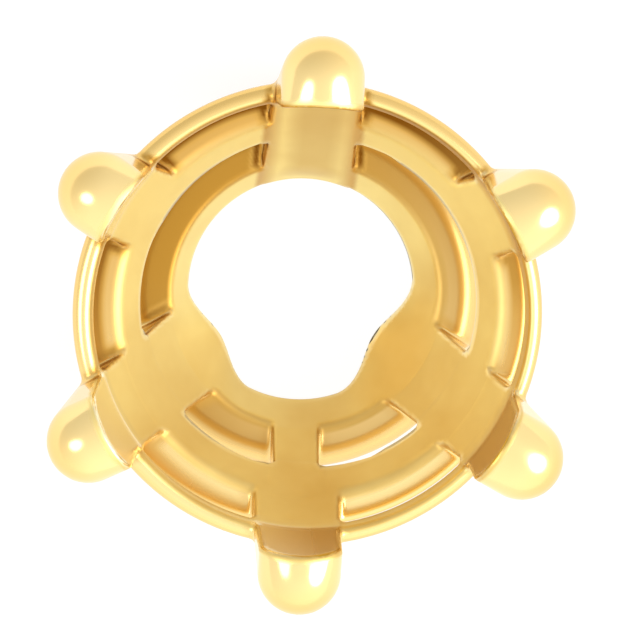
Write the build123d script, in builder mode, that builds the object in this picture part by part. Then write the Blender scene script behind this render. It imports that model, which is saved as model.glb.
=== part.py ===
from build123d import *
from math import cos, radians, sin, tan
import os

# Six-prong round setting that slides on a chain, cast in one piece.
# Millimetres. The base rests on z = 0, +Z runs up to the prong tips,
# and +Y points at the prong that hangs uppermost on the chain.

# Base opening, the cone bored down through the head and the steep wall above it
hole_radius = 1.56
seat_angle = 34.0
seat_shift = 0.06
seat_height = 2.27
wall_lean = 4.5
wall_shift = -0.20

# Rails, from the base up
base_rail_height = 0.55
base_rail_radius = 2.52
base_rail_shoulder = 0.35
slot_height = 0.70
middle_rail_height = 0.47
middle_rail_radius = 3.12
gallery_gap = 0.38
top_rail_wire = 0.30
top_rail_radius = 3.29
rail_rounding = 0.08
ledge_chamfer = 0.05

# Prongs
tip_width = 1.17
prong_taper = 0.9
prong_lean = 20.0
tip_circle_radius = 3.50
tip_height = 3.34
post_width = 0.65

# Raised inner face of the uppermost prong
face_width = 1.28
face_proud = 0.08
face_depth = 0.25
face_rounding = 0.15
face_toe_angle = 20.0

# Swellings of two prong feet into the base opening; depth is a share of hole_radius
swelling_height = 0.62
swellings = [
    {"angle": 213.0, "depth": 0.19, "half_span": 33.0},
    {"angle": 330.0, "depth": 0.235, "half_span": 38.0},
]
outline_points = 72

# Levels and radii that follow from the sizes above
middle_rail_bottom = base_rail_height + slot_height
middle_rail_top = middle_rail_bottom + middle_rail_height
top_rail_level = middle_rail_top + gallery_gap + top_rail_wire / 2
tip_radius = tip_width / 2
hollow_top = tip_height + 2 * tip_width
seat_slope = tan(radians(seat_angle))
wall_slope = tan(radians(wall_lean))
lean = radians(prong_lean)


def seat_radius(height):
    """Radius of the bored cone at a height above the base."""
    return hole_radius - abs(seat_shift) + height * seat_slope


def opening_radius(degrees):
    """Radius of the base opening, with the swollen prong feet."""
    radius = hole_radius
    for swelling in swellings:
        share = ((degrees - swelling["angle"] + 180) % 360 - 180) / swelling["half_span"]
        if abs(share) < 1:
            radius -= swelling["depth"] * hole_radius * (1 - share**2) ** 2
    return radius


def around(angle, radius, shift):
    """Point on a circle whose centre is shifted along X."""
    return (shift + radius * cos(radians(angle)), radius * sin(radians(angle)))


# Hollow of the head: the swollen opening, the cone and the steep wall
outline_angles = [360 * index / outline_points for index in range(outline_points)]
cone_foot_radius = seat_radius(swelling_height)
opening_outline = [around(angle, opening_radius(angle), 0) for angle in outline_angles]
cone_foot_outline = [around(angle, cone_foot_radius, seat_shift) for angle in outline_angles]
with BuildPart() as hollow:
    with BuildSketch(Plane.XY):
        with BuildLine():
            Spline(opening_outline, periodic=True)
        make_face()
    with BuildSketch(Plane.XY.offset(swelling_height)):
        with BuildLine():
            Spline(cone_foot_outline, periodic=True)
        make_face()
    loft(ruled=True)
    with Locations((seat_shift, 0, swelling_height)):
        Cone(
            cone_foot_radius,
            seat_radius(seat_height),
            seat_height - swelling_height,
            align=(Align.CENTER, Align.CENTER, Align.MIN),
        )
    with BuildSketch(Plane.XY.offset(seat_height)):
        with Locations((seat_shift, 0)):
            Circle(seat_radius(seat_height))
    with BuildSketch(Plane.XY.offset(hollow_top)):
        with Locations((wall_shift, 0)):
            Circle(seat_radius(seat_height) + (hollow_top - seat_height) * wall_slope)
    loft(ruled=True)

# Base and middle rails, turned rings with rounded outer corners and eased inner rims
rim_slope = 1 + seat_slope
with BuildPart() as rails:
    with BuildSketch(Plane.XZ) as base_section:
        with Locations((hole_radius / 2, 0)):
            Rectangle(
                base_rail_radius - hole_radius / 2, base_rail_height, align=(Align.MIN, Align.MIN)
            )
        fillet(base_section.vertices().group_by(Axis.X)[-1].sort_by(Axis.Y)[-1], base_rail_shoulder)
        fillet(base_section.vertices().group_by(Axis.X)[-1].sort_by(Axis.Y)[0], rail_rounding)
    with BuildSketch(Plane.XZ) as middle_section:
        with Locations((hole_radius, middle_rail_bottom)):
            Rectangle(
                middle_rail_radius - hole_radius, middle_rail_height, align=(Align.MIN, Align.MIN)
            )
        fillet(middle_section.vertices().group_by(Axis.X)[-1], rail_rounding)
    revolve(axis=Axis.Z)
    for rail_top in (base_rail_height, middle_rail_top):
        with Locations((seat_shift, 0, rail_top - 2 * ledge_chamfer)):
            Cone(
                seat_radius(rail_top) + ledge_chamfer - 2 * ledge_chamfer * rim_slope,
                seat_radius(rail_top) + ledge_chamfer,
                2 * ledge_chamfer,
                align=(Align.CENTER, Align.CENTER, Align.MIN),
                mode=Mode.SUBTRACT,
            )

# Round wire of the top rail
with BuildPart() as top_rail:
    with Locations((0, 0, top_rail_level)):
        Torus(top_rail_radius - top_rail_wire / 2, top_rail_wire / 2)

# One prong at +X: flat-sided, round outside, leaning out and tapering to a domed tip
prong_length = (tip_height + tip_width) / cos(lean)
prong_depth = tip_circle_radius - hole_radius / 2
foot_radius = tip_radius + prong_length * tan(radians(prong_taper))
prong_foot = Plane(
    origin=Vector(tip_circle_radius, 0, tip_height) - Vector(sin(lean), 0, cos(lean)) * prong_length,
    x_dir=(cos(lean), 0, -sin(lean)),
    z_dir=(sin(lean), 0, cos(lean)),
)
with BuildPart(prong_foot) as long_prong:
    with BuildSketch(prong_foot):
        Circle(foot_radius)
        Rectangle(prong_depth, 2 * foot_radius, align=(Align.MAX, Align.CENTER))
    extrude(amount=prong_length, taper=prong_taper)
    with Locations((0, 0, prong_length)):
        Sphere(tip_radius)
        Cylinder(
            tip_radius,
            prong_depth - foot_radius,
            rotation=(0, -90, 0),
            align=(Align.CENTER, Align.CENTER, Align.MIN),
        )
    split(bisect_by=Plane.XY, keep=Keep.TOP)
    split(bisect_by=Plane.YZ.offset(hole_radius / 2), keep=Keep.TOP)

# The prongs over the chain passage stop at the underside of the middle rail
with BuildPart() as short_prong:
    add(long_prong.part)
    split(bisect_by=Plane.XY.offset(middle_rail_bottom), keep=Keep.TOP)

# Narrow post that carries the lowest prong down to the base rail
with BuildPart() as post:
    add(long_prong.part)
    Box(4 * tip_circle_radius, post_width, 4 * tip_height, mode=Mode.INTERSECT)

# Raised face of the uppermost prong: rounded sides, as steep as the cone, eased at its toe
face_foot = seat_radius(0) - face_proud
face_height = seat_height + face_proud / (seat_slope - wall_slope)
with BuildPart() as raised_face:
    with BuildSketch(Plane.XY) as face_section:
        with Locations((0, face_foot)):
            Rectangle(face_width, face_depth, align=(Align.CENTER, Align.MIN))
        fillet(face_section.vertices().sort_by(Axis.Y)[:2], face_rounding)
    extrude(
        amount=face_height / cos(radians(seat_angle)),
        dir=(0, sin(radians(seat_angle)), cos(radians(seat_angle))),
    )
    Cone(
        hole_radius,
        hole_radius + face_height * tan(radians(face_toe_angle)),
        face_height,
        align=(Align.CENTER, Align.CENTER, Align.MIN),
        mode=Mode.SUBTRACT,
    )

# The whole casting, bored through
with BuildPart() as prong_basket:
    add(rails.part)
    add(top_rail.part)
    with PolarLocations(0, 3, start_angle=90):
        add(long_prong.part)
    with PolarLocations(0, 3, start_angle=30):
        add(short_prong.part)
    add(post.part, rotation=(0, 0, 270))
    add(hollow.part, mode=Mode.SUBTRACT)
    add(raised_face.part)

os.makedirs("parts", exist_ok=True)
prong_basket.part.label = "prong_basket"
export_step(prong_basket.part, "parts/prong_basket.step")
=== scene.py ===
from math import cos, pi, radians, sin, tan
import bpy
import numpy as np
from mathutils import Matrix, Vector


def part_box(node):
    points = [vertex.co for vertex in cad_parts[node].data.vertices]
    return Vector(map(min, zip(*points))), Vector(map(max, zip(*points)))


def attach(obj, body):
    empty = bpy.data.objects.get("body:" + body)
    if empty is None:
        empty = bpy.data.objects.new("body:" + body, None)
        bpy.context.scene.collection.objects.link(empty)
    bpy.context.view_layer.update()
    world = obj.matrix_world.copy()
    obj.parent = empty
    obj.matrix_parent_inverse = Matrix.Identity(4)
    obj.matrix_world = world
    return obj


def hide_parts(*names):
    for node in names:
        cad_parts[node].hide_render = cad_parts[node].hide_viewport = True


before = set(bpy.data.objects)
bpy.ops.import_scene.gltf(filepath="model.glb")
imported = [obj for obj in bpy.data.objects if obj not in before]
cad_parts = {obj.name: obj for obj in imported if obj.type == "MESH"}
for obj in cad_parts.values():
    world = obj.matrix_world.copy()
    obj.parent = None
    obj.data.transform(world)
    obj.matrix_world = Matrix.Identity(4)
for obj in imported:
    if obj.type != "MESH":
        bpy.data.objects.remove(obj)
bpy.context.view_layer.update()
print("frame loaded")

# The casting, in millimetres: +Z is up through the head and +Y at the uppermost prong
casting = {
    "holeRadius": 1.56,       # base opening
    "seatAngle": 34.0,        # cone bored down through the head, from its axis
    "seatShift": 0.06,        # how far off centre it was bored
    "seatHeight": 2.27,       # where the steep wall starts
    "wallLean": 4.5,
    "wallShift": -0.20,
    "baseRail": {"radius": 2.52, "top": 0.55, "corner": 0.35},
    "middleRail": {"radius": 3.12, "bottom": 1.25, "top": 1.72, "corner": 0.08},
    "topRail": {"radius": 3.29, "wire": 0.30, "level": 2.25},
    "tipWidth": 1.17,
    "prongTaper": 0.9,
    "prongLean": 20.0,
    "tipCircle": 3.50,
    "tipHeight": 3.34,
    "postWidth": 0.65,
    "face": {"width": 1.28, "proud": 0.08, "depth": 0.25, "rounding": 0.11, "toeAngle": 20.0},
    "swellingHeight": 0.62,
    "swellings": [
        {"angle": 213.0, "depth": 0.19, "halfSpan": 33.0},
        {"angle": 330.0, "depth": 0.235, "halfSpan": 38.0},
    ],
    "edge": 0.07,             # how far polishing has rounded the edges
    "rim": 0.11,              # and how far the upper edges of the bored hollow
    "sharp": 0.03,            # edges left crisp under the middle rail
    "crown": 0.95,            # how much the tips also fall off towards the stone
    "joint": 0.09,            # how far the corners between rails and prongs are filled
    "flush": 0.004,           # how far those fillings may stand out of the bored hollow
    "core": 0.7,              # share of the base opening within which the mesh's grid has no points
    "quad": 0.0421,           # height and depth of the mesh's quads
    "around": 369,            # and how many go around the axis
}


# The lesser of two depths, with the crease between them rounded over the length blend
def softMin(a, b, blend):
    share = np.maximum(blend - np.abs(a - b), 0) / blend
    return np.minimum(a, b) - share * share * blend / 4


# And the greater
def softMax(a, b, blend):
    return -softMin(-a, -b, blend)


# How far points lie outside the hollow bored down through the head; below zero within it
def hollowDepth(x, y, z):
    c = casting
    slope = tan(radians(c["seatAngle"]))
    wallSlope = tan(radians(c["wallLean"]))
    footRadius = c["holeRadius"] - abs(c["seatShift"])
    hollowTop = c["tipHeight"] + 2 * c["tipWidth"]
    low = np.clip(z / c["swellingHeight"], 0, 1)
    high = np.maximum(z - c["seatHeight"], 0)
    wallDrift = (c["wallShift"] - c["seatShift"]) / (hollowTop - c["seatHeight"])
    centre = c["seatShift"] * low + wallDrift * high
    radius = np.hypot(x - centre, y)
    angle = np.degrees(np.arctan2(y, x - centre)) % 360
    opening = np.full_like(radius, c["holeRadius"])
    for swelling in c["swellings"]:
        share = ((angle - swelling["angle"] + 180) % 360 - 180) / swelling["halfSpan"]
        opening -= swelling["depth"] * c["holeRadius"] * np.maximum(1 - share * share, 0) ** 2
    coneFoot = footRadius + c["swellingHeight"] * slope
    foot = opening + (coneFoot - opening) * low
    cone = (radius - np.where(low < 1, foot, footRadius + z * slope)) * cos(radians(c["seatAngle"]))
    seatRadius = footRadius + c["seatHeight"] * slope
    wall = (radius - seatRadius - (z - c["seatHeight"]) * wallSlope) * cos(radians(c["wallLean"]))
    return softMax(cone, wall, c["edge"])


# How far points lie outside a prong, before it is bored
def prongDepth(x, y, z, angle):
    c = casting
    lean = radians(c["prongLean"])
    reach = x * cos(radians(angle)) + y * sin(radians(angle))
    outward = reach - c["tipCircle"]
    across = y * cos(radians(angle)) - x * sin(radians(angle))
    along = outward * sin(lean) + (z - c["tipHeight"]) * cos(lean)
    proud = outward * cos(lean) - (z - c["tipHeight"]) * sin(lean)
    radius = c["tipWidth"] / 2 - np.minimum(along, 0) * tan(radians(c["prongTaper"]))
    fall = np.minimum(proud, 0) * c["crown"] * np.clip(2 * along / c["tipWidth"], 0, 1)
    outer = np.maximum(proud, 0)
    dome = np.maximum(along, 0)
    prong = np.sqrt(outer**2 + fall**2 + across**2 + dome**2) - radius
    return np.maximum(prong, c["holeRadius"] / 2 - reach)   # on its own side of the head only


# And outside a turned rail with a rounded upper corner; its underside is cut later
def railDepth(rho, z, rail):
    out = rho - rail["radius"] + rail["corner"]
    up = z - rail["top"] + rail["corner"]
    rounded = np.hypot(np.maximum(out, 0), np.maximum(up, 0))
    return rounded + np.minimum(np.maximum(out, up), 0) - rail["corner"]


# And outside the raised face of the uppermost prong
def faceDepth(x, y, z):
    c = casting
    face = c["face"]
    slope = tan(radians(c["seatAngle"]))
    wallSlope = tan(radians(c["wallLean"]))
    foot = c["holeRadius"] - abs(c["seatShift"]) - face["proud"]
    top = c["seatHeight"] + face["proud"] / (slope - wallSlope)
    side = np.abs(x) - face["width"] / 2 + face["rounding"]
    half = face["depth"] / 2
    depth = (np.abs(y - z * slope - foot - half) - half) * cos(radians(c["seatAngle"]))
    depth += face["rounding"]
    slab = np.hypot(np.maximum(side, 0), np.maximum(depth, 0)) + np.minimum(np.maximum(side, depth), 0)
    slab -= face["rounding"]
    toe = c["holeRadius"] + z * tan(radians(face["toeAngle"])) - np.hypot(x, y)
    return softMax(softMax(slab, toe, c["edge"]), z - top, c["edge"])


# How far points lie outside the whole casting; below zero in the metal
def castingDepth(points):
    x, y, z = points
    c = casting
    rho = np.hypot(x, y)
    wire = c["topRail"]["wire"] / 2
    upper = railDepth(rho, z, c["middleRail"])
    for angle in (30, 150, 270):
        upper = softMin(upper, prongDepth(x, y, z, angle), c["joint"])
    hollow = -hollowDepth(x, y, z)
    upper = softMax(softMax(upper, hollow, c["rim"]), c["middleRail"]["bottom"] - z, c["sharp"])
    lower = railDepth(rho, z, c["baseRail"])
    for angle in (90, 210, 330):
        lower = softMin(lower, prongDepth(x, y, z, angle), c["joint"])
    post = softMax(prongDepth(x, y, z, 270), np.abs(x) - c["postWidth"] / 2, c["edge"])
    lower = softMin(lower, np.maximum(post, z - c["middleRail"]["top"]), c["joint"])
    lower = softMax(lower, hollow, c["edge"])
    solid = softMin(lower, upper, c["joint"])
    topRail = np.hypot(rho - c["topRail"]["radius"] + wire, z - c["topRail"]["level"]) - wire
    solid = softMin(solid, softMax(topRail, hollow, c["rim"]), c["joint"])
    solid = np.maximum(solid, hollow - c["flush"])
    solid = softMin(solid, faceDepth(x, y, z), c["edge"] / 2)
    return softMax(solid, -z, c["edge"])


# Directions in which a depth function grows fastest, which point straight out of the metal
def slopeOf(depth, points, reach=0.002):
    slope = np.empty_like(points)
    for axis in range(3):
        move = np.zeros(3)
        move[axis] = reach
        slope[:, axis] = depth((points + move).T) - depth((points - move).T)
    return slope / np.linalg.norm(slope, axis=1)[:, None]


# Places of grid points counted outwards, around and upwards
def placeOf(spot, start, steps):
    radius, angle, height = (start[i] + steps[i] * spot[..., i] for i in range(3))
    return np.stack((radius * np.cos(angle), radius * np.sin(angle), height), axis=-1)


# Quads around the zero level of a depth function, sampled on a grid that goes around the axis. Each cell
# that the surface crosses has one vertex, where the planes of the surface on the cell's edges meet.
def quadsOf(depth, start, steps, counts, pull=0.02):
    grid = np.stack(np.meshgrid(*map(np.arange, counts), indexing="ij"), axis=-1)
    values = depth(np.moveaxis(placeOf(grid, start, steps), -1, 0))
    cells, places, slopes, turned = [], [], [], []
    for axis in range(3):
        ahead = np.roll(values, -1, axis)
        crossed = np.nonzero((values < 0) != (ahead < 0))
        corner = np.stack(crossed, axis=1)
        spot = corner.astype(float)
        spot[:, axis] += values[crossed] / (values[crossed] - ahead[crossed])
        place = placeOf(spot, start, steps)
        ring = np.repeat(corner[:, None, :], 4, axis=1)
        ring[:, :, (axis + 1) % 3] -= np.array([1, 0, 0, 1])
        ring[:, :, (axis + 2) % 3] -= np.array([1, 1, 0, 0])
        cells.append(ring % counts)
        places.append(place)
        slopes.append(slopeOf(depth, place))
        turned.append(values[crossed] >= 0)
    cells, places, slopes = np.concatenate(cells), np.concatenate(places), np.concatenate(slopes)
    keys = np.ravel_multi_index(np.moveaxis(cells, -1, 0), counts)
    used, rings = np.unique(keys, return_inverse=True)
    rings = rings.reshape(keys.shape)
    centres = placeOf(np.stack(np.unravel_index(used, counts), axis=-1) + 0.5, start, steps)
    planes = np.tile(pull * np.eye(3), (len(used), 1, 1))
    reaches = np.zeros((len(used), 3))
    means = np.zeros((len(used), 4))
    for corner in range(4):
        owner = rings[:, corner]
        offset = places - centres[owner]
        np.add.at(planes, owner, slopes[:, :, None] * slopes[:, None, :])
        np.add.at(reaches, owner, slopes * (slopes * offset).sum(axis=1)[:, None])
        np.add.at(means, owner, np.column_stack((offset, np.ones(len(offset)))))
    reaches += pull * means[:, :3] / means[:, 3:]
    offset = np.linalg.solve(planes, reaches[:, :, None])[:, :, 0]
    limit = steps[0] / np.maximum(np.linalg.norm(offset, axis=1), steps[0])
    rings = np.where(np.concatenate(turned)[:, None], rings[:, ::-1], rings)
    return centres + offset * limit[:, None], rings


def buildCasting():
    c = casting
    low, high = [Vector(corner) * 1000 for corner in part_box("prong_basket")]
    steps = (c["quad"], 2 * pi / c["around"], c["quad"])
    start = (c["holeRadius"] * c["core"], 0, low.z - 1.5 * c["quad"])
    reach = c["tipCircle"] + c["tipWidth"] / 2 + 2 * c["quad"]
    outwards = int((reach - start[0]) / steps[0])
    upwards = int((high.z - start[2]) / steps[2]) + 3
    counts = (outwards, c["around"], upwards)
    points, faces = quadsOf(castingDepth, start, steps, counts)
    points = np.clip(points, low, high)
    normals = slopeOf(castingDepth, points, c["quad"] / 4)
    mesh = bpy.data.meshes.new("casting")
    mesh.from_pydata((points / 1000).tolist(), [], faces.tolist())
    mesh.polygons.foreach_set("use_smooth", np.ones(len(faces), dtype=bool))
    mesh.normals_split_custom_set_from_vertices(normals.tolist())
    mesh.validate()
    piece = bpy.data.objects.new("casting", mesh)
    bpy.context.scene.collection.objects.link(piece)
    markSurface(piece, points, normals)
    print("casting built,", len(faces), "quads")
    return piece


# Where the bored surface's satin and each painted shade and highlight start and where they are full, in
# millimetres; facings are shares of straight up or out
satinAndPaintedLight = {
    "boredFade": 0.03,              # how far off the bored surface its satin ends
    "seatFade": 0.1,                # height in which the cone's satin gives way to the steep wall's painted shade
    "wallSkin": (0.04, 0.02),       # distance from the steep wall
    "proudMetal": (-0.03, -0.06),   # how far metal stands out into the hollow
    "ledgeFacing": (0.667, 1.0),    # up; these ledges get painted shade
    "ledgeDrop": 0.3,               # ledges lie at least this far under the top wire
    "baseRise": 0.1,                # and those of the base at most this far above the base rail, which get a deeper painted shade
    "outsideFacing": (0.167, 1.0),  # out; outward faces get a deeper gold as painted shade
    "insideFacing": (-0.55, -0.8),
    "near": {"reach": 0.2, "gap": (0.17, 0.07)},        # metal that close in front makes a corner, which gets painted shade
    "under": {"reach": 0.38, "gap": (0.22, 0.12)},      # and so does a rail above a ledge, for its painted shadow
    "ridge": {"reach": 0.06, "gap": (-0.0432, -0.0312)},    # thin metal behind makes an edge, which gets a painted highlight
    "wireSkin": (0.34, 0.17),       # distance from the middle of the top wire, which gets painted shade on one side
    "faceRim": (0.22, 0.0),         # distance from the sides of the raised face, where shade is painted
    "faceOver": (-0.09, -0.03),     # and how far beyond them its shading goes
    # strength of the painted shade along the sides of the raised face
    "faceSideShade": 0.9,
    "warm": (0.0, 0.5),             # painted corner shade first turns warm
    "dark": (0.412, 1.0),           # and then dark
}

# How strongly each painted shade and highlight shows around the axis, following the sides that the light
# leaves dark or catches: level in the mean, and swing towards one side
paintedLightAround = {
    "outside": {"level": 0.85, "swing": 0.1, "towards": 330},
    "shade": {"level": 0.3, "swing": 0.5, "towards": 290},
    "wall": {"level": 1.25, "swing": -1.4, "towards": 195},
    "ledge": {"level": 0.5, "swing": 0.5, "towards": 115},
    "base": {"level": 0.74, "swing": 0.26, "towards": 150},
    "wire": {"level": 0.1, "swing": 0.7, "towards": 105},
    "corner": {"level": 0.6, "swing": 0.55, "towards": 110},
    "edge": {"level": 0.5, "swing": 0.1, "towards": 0},
}


# How far values have come from a start to where they are full, from 0 to 1
def ramp(values, start, full):
    return np.clip((values - start) / (full - start), 0, 1)


# What each point belongs to, how deep in a corner it lies and how sharp an edge is there, for the satin
# and for painted shade and highlights
def markSurface(piece, points, normals):
    c, f = casting, satinAndPaintedLight
    near, under, ridge, wire = f["near"], f["under"], f["ridge"], c["topRail"]
    x, y, z = points.T
    rho = np.hypot(x, y)
    outward = (normals[:, 0] * x + normals[:, 1] * y) / rho
    hollow = hollowDepth(x, y, z)
    proud = c["face"]["proud"]
    bored = ramp(np.abs(hollow), proud + f["boredFade"], proud)
    aboveSeat = ramp(z, c["seatHeight"], c["seatHeight"] + f["seatFade"])
    steep = aboveSeat * ramp(np.abs(hollow), *f["wallSkin"])
    ledge = ramp(normals[:, 2], *f["ledgeFacing"]) * (z < wire["level"] - f["ledgeDrop"])
    inFront = castingDepth((points + near["reach"] * normals).T)
    above = castingDepth((points + under["reach"] * normals).T)
    behind = castingDepth((points - ridge["reach"] * normals).T)
    onWire = ramp(np.hypot(rho - wire["radius"], z - wire["level"]), *f["wireSkin"])
    inside = onWire * ramp(outward, *f["insideFacing"])
    inset = c["face"]["width"] / 2 - np.abs(x)
    # Painted shade along the sides of the raised face
    faceSide = ramp(inset, *f["faceRim"]) * ramp(inset, *f["faceOver"]) * (y > 0) * bored
    # Painted shade in corners, under rails over ledges and on the inner slope of the top wire
    corner = np.maximum(ramp(inFront, *near["gap"]), ledge * ramp(above, *under["gap"]))
    marks = {
        "bored": bored * (1 - steep),
        "outside": ramp(outward, *f["outsideFacing"]) * (1 - bored),
        "shade": bored * (1 - steep),
        # painted shade on the steep wall and on metal standing into the hollow
        "wall": steep + ramp(hollow, *f["proudMetal"]) / 2,
        "ledge": ledge,
        "base": ledge * (z < c["baseRail"]["top"] + f["baseRise"]),
        "wire": onWire * (1 - bored),
        "corner": np.maximum(corner, inside),
        "edge": ramp(behind, *ridge["gap"]) * np.abs(x) / rho,   # painted highlight on the left and right only, where the lamps catch the edges
    }
    around = np.degrees(np.arctan2(y, x))
    # Painted shade and highlights are stronger towards one side of the axis
    for name, side in paintedLightAround.items():
        share = side["level"] + side["swing"] * np.cos(np.radians(around - side["towards"]))
        marks[name] = marks[name] * np.clip(share, 0, 1)
    # Painted shade: corners and the sides of the raised face turn warm, and then corners dark
    marks["warm"] = np.maximum(ramp(marks["corner"], *f["warm"]), f["faceSideShade"] * faceSide)
    marks["corner"] = ramp(marks["corner"], *f["dark"])
    # Steep walls left light by their painted shade get the painted highlight too
    marks["edge"] = np.maximum(marks["edge"], steep - marks["wall"])
    for name, values in marks.items():
        attribute = piece.data.attributes.new(name, "FLOAT", "POINT")
        attribute.data.foreach_set("value", values.astype(np.float32))


castingPiece = buildCasting()
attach(castingPiece, "root")
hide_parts("prong_basket")


# A socket of a shader tree: arithmetic on it adds Math nodes
class Socket:
    def __init__(self, tree, source=None):
        self.tree = tree
        self.source = source

    def node(self, kind, settings={}, inputs={}, output=0):
        made = self.tree.nodes.new(kind)
        for name, value in settings.items():
            setattr(made, name, value)
        for name, value in inputs.items():
            if isinstance(value, Socket):
                self.tree.links.new(value.source, made.inputs[name])
            else:
                made.inputs[name].default_value = value
        return Socket(self.tree, made.outputs[output] if made.outputs else None)

    def maths(self, operation, *values):
        return self.node("ShaderNodeMath", {"operation": operation}, dict(enumerate(values)))

    def __add__(self, other):
        return self.maths("ADD", self, other)

    def __radd__(self, other):
        return self.maths("ADD", other, self)

    def __sub__(self, other):
        return self.maths("SUBTRACT", self, other)

    def __rsub__(self, other):
        return self.maths("SUBTRACT", other, self)

    def __mul__(self, other):
        return self.maths("MULTIPLY", self, other)

    def __rmul__(self, other):
        return self.maths("MULTIPLY", other, self)

    def blend(self, first, second):
        colours = {"Factor": self, 6: first, 7: second}
        return self.node("ShaderNodeMix", {"data_type": "RGBA"}, colours, output=2)


def newMaterial(name):
    material = bpy.data.materials.new(name)
    material.use_nodes = True
    material.node_tree.nodes.clear()
    return material, Socket(material.node_tree)


# Cast gold: polished outside, satin where it was bored; the other colours are painted light and shade,
# deeper in colour in its corners, on the bored cone, on ledges, the top wire, the steep wall and outward
# faces, and paler on edges
gold = {
    "polished": {"colour": (0.99, 0.75, 0.33), "roughness": 0.16},
    "bored": {"colour": (0.90, 0.74, 0.30), "roughness": 0.5},
    # deeper gold painted as shade on outward faces
    "outside": {"colour": (0.90, 0.60, 0.20), "roughness": 0.24},
    "shade": {"colour": (0.68, 0.45, 0.13), "roughness": 0.5},
    # painted shade on the ledges under the top wire
    "ledge": {"colour": (0.62, 0.36, 0.09), "roughness": 0.34},
    # deeper painted shade on the ledges of the base rail, deep under the middle rail
    "base": {"colour": (0.44, 0.225, 0.033), "roughness": 0.4},
    # painted shade on the top wire
    "wire": {"colour": (0.82, 0.54, 0.17), "roughness": 0.22},
    # painted shade on the steep wall of the seat
    "wall": {"colour": (0.56, 0.31, 0.03), "roughness": 0.28},
    # painted shade in corners, warm first and then dark brown
    "warm": {"colour": (0.60, 0.34, 0.07), "roughness": 0.35},
    "corner": {"colour": (0.20, 0.07, 0.005), "roughness": 0.4},
    # paler gold as a painted highlight on edges
    "edge": {"colour": (1.0, 0.91, 0.62), "roughness": 0.18},
}
texture = {
    "patches": {"Scale": 900.0, "Detail": 3.0},
    "grain": {"Scale": 14000.0, "Detail": 2.0},
    "unevenness": 0.08,       # how much the patches change the roughness
    "polishedGrain": 0.2,     # how much of the satin's grain the polished gold keeps
    "bump": {"Strength": 0.12, "Distance": 0.000004},
}


# Each mark blends its own colour and roughness over what came before
def goldMaterial():
    material, start = newMaterial("castGold")
    place = start.node("ShaderNodeTexCoord", output=3)
    marks = {
        name: start.node("ShaderNodeAttribute", {"attribute_name": name}, output=2)
        for name in gold if name != "polished"
    }
    patches = start.node("ShaderNodeTexNoise", {}, {"Vector": place, **texture["patches"]})
    grain = start.node("ShaderNodeTexNoise", {}, {"Vector": place, **texture["grain"]})
    colour = (*gold["polished"]["colour"], 1)
    roughness = gold["polished"]["roughness"] + (patches - 0.5) * texture["unevenness"]
    marks["shade"] = marks["shade"] + marks["bored"] * (patches - 0.5)
    for name, mark in marks.items():
        colour = mark.blend(colour, (*gold[name]["colour"], 1))
        roughness = roughness + mark * (gold[name]["roughness"] - roughness)
    height = grain * (texture["polishedGrain"] + marks["bored"])
    bump = start.node("ShaderNodeBump", {}, {"Height": height, **texture["bump"]})
    shader = start.node(
        "ShaderNodeBsdfPrincipled", {},
        {"Base Color": colour, "Metallic": 1.0, "Roughness": roughness, "Normal": bump},
    )
    start.node("ShaderNodeOutputMaterial", {}, {"Surface": shader})
    return material


castingPiece.data.materials.append(goldMaterial())
print("gold made")

# Pale floor, which glows a little so that it shows white
floor = {"half": 0.6, "colour": (0.26, 0.26, 0.26), "roughness": 0.9, "specular": 0.1, "glow": 0.77}


def buildFloor():
    half = floor["half"]
    mesh = bpy.data.meshes.new("floor")
    corners = [(-half, -half, 0), (half, -half, 0), (half, half, 0), (-half, half, 0)]
    mesh.from_pydata(corners, [], [(0, 1, 2, 3)])
    piece = bpy.data.objects.new("floor", mesh)
    bpy.context.scene.collection.objects.link(piece)
    material, start = newMaterial("paleFloor")
    shader = start.node(
        "ShaderNodeBsdfPrincipled", {},
        {
            "Base Color": (*floor["colour"], 1), "Roughness": floor["roughness"],
            "Specular IOR Level": floor["specular"],
            "Emission Color": (1, 1, 1, 1), "Emission Strength": floor["glow"],
        },
    )
    start.node("ShaderNodeOutputMaterial", {}, {"Surface": shader})
    mesh.materials.append(material)


buildFloor()

# Camera high above the head, turned so that the uppermost prong is at the top
view = {
    "azimuth": 108.9,
    "elevation": 80.4,
    "roll": 16.4,
    "distance": 0.30,
    "width": 0.009027,              # what the frame spans at the setting
    "aim": (0.000282, -0.000451),   # the frame's centre, rightwards and upwards from the origin
    "sensor": 36.0,                 # millimetres
    "nearest": 0.001,               # metres, where the camera starts to see
}


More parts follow.
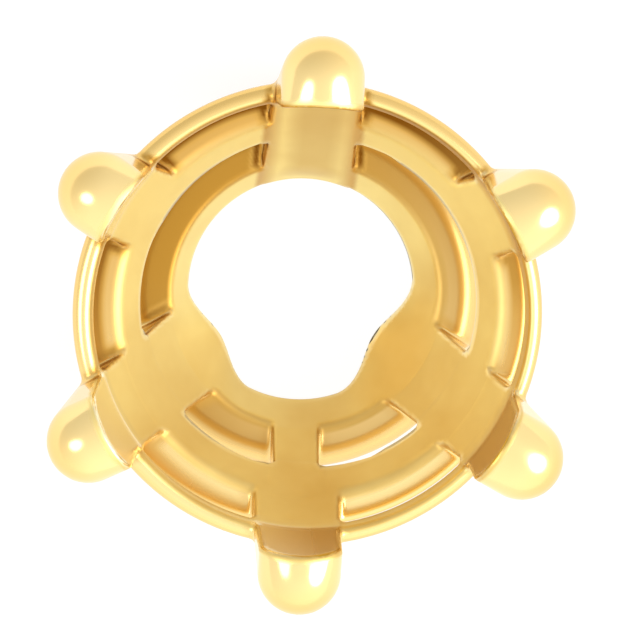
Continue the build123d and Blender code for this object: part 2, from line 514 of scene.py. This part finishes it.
def buildCamera():
    azimuth, elevation, roll = (radians(view[name]) for name in ("azimuth", "elevation", "roll"))
    heading = Vector((cos(azimuth), sin(azimuth), 0))
    towards = Vector((cos(elevation) * heading.x, cos(elevation) * heading.y, sin(elevation)))
    side = Vector((heading.y, -heading.x, 0))
    over = Vector((sin(elevation) * heading.x, sin(elevation) * heading.y, -cos(elevation)))
    right = side * cos(roll) - over * sin(roll)
    up = side * sin(roll) + over * cos(roll)
    data = bpy.data.cameras.new("camera")
    data.sensor_width = view["sensor"]
    data.lens = data.sensor_width * view["distance"] / view["width"]
    data.clip_start = view["nearest"]
    camera = bpy.data.objects.new("camera", data)
    centre = right * view["aim"][0] + up * view["aim"][1]
    turn = Matrix((right, up, towards)).transposed().to_4x4()
    camera.matrix_world = Matrix.Translation(centre + towards * view["distance"]) @ turn
    bpy.context.scene.collection.objects.link(camera)
    bpy.context.scene.camera = camera


buildCamera()

# Soft studio light: angles give the side and height that each lamp shines from, its size is in metres
lamps = [
    {"name": "left", "azimuth": 190, "elevation": 50, "width": 0.24, "height": 0.30, "brightness": 2.0},
    {"name": "right", "azimuth": 350, "elevation": 44, "width": 0.42, "height": 0.46, "brightness": 2.4},
]
lampDistance = 0.5
surround = {"level": 1.10, "fall": 0.28, "towards": 122}   # white all around, but dimmer on this side


def buildLight():
    for lamp in lamps:
        data = bpy.data.lights.new(lamp["name"], "AREA")
        data.shape = "ELLIPSE"
        data.size, data.size_y = lamp["width"], lamp["height"]
        data.energy = pi * data.size * data.size_y * lamp["brightness"]
        light = bpy.data.objects.new(lamp["name"], data)
        azimuth, elevation = radians(lamp["azimuth"]), radians(lamp["elevation"])
        away = Vector((cos(azimuth) * cos(elevation), sin(azimuth) * cos(elevation), sin(elevation)))
        turn = away.to_track_quat("Z", "Y").to_matrix().to_4x4()
        light.matrix_world = Matrix.Translation(away * lampDistance) @ turn
        light.visible_camera = False
        bpy.context.scene.collection.objects.link(light)
    world = bpy.data.worlds.new("studio")
    world.use_nodes = True
    world.node_tree.nodes.clear()
    start = Socket(world.node_tree)
    dimmest = (cos(radians(surround["towards"])), sin(radians(surround["towards"])), 0)
    facing = start.node(
        "ShaderNodeVectorMath", {"operation": "DOT_PRODUCT"},
        {0: start.node("ShaderNodeTexCoord"), 1: dimmest}, output=1,
    )
    level = surround["level"] - surround["level"] * surround["fall"] * facing
    shader = start.node("ShaderNodeBackground", {}, {"Color": (1, 1, 1, 1), "Strength": level})
    start.node("ShaderNodeOutputWorld", {}, {"Surface": shader})
    bpy.context.scene.world = world
    bpy.context.scene.view_settings.view_transform = "Standard"


buildLight()
print("studio ready")
